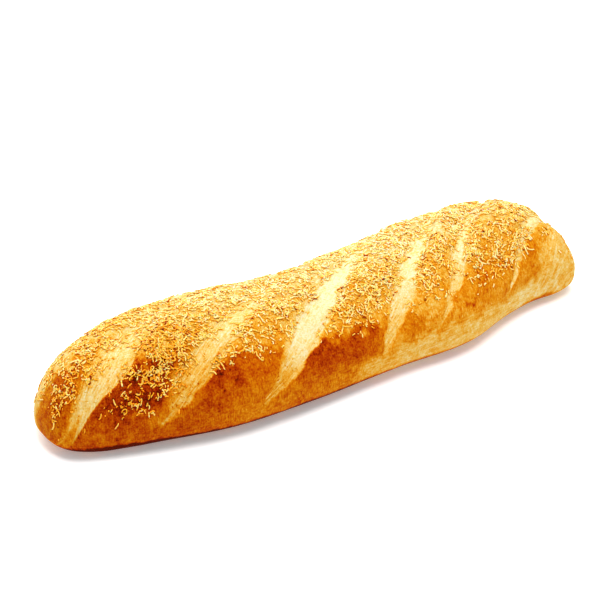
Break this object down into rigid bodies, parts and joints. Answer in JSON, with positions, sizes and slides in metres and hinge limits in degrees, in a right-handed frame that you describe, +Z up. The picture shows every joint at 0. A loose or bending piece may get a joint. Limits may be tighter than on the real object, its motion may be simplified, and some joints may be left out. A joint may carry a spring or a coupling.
{
  "type": "cheese bread loaf",
  "caption": "Long baked loaf with slanting slashes, browned ridges and grated cheese baked onto its crown.",
  "frame": {"origin": "middle of the loaf's box at the flat base it rests on", "axes": "+X along the loaf towards its narrower nub, +Z up through the slashed crown"},
  "size_m": [0.37, 0.1098, 0.0615],
  "materials": {
    "crust": "matt baked crust, pale in the slashes and browned on the ridges",
    "cheese": "dry baked cheese threads, golden with toasted tips"
  },
  "bodies": {
    "root": {"loaf": "crust"}
  },
  "joints": []
}
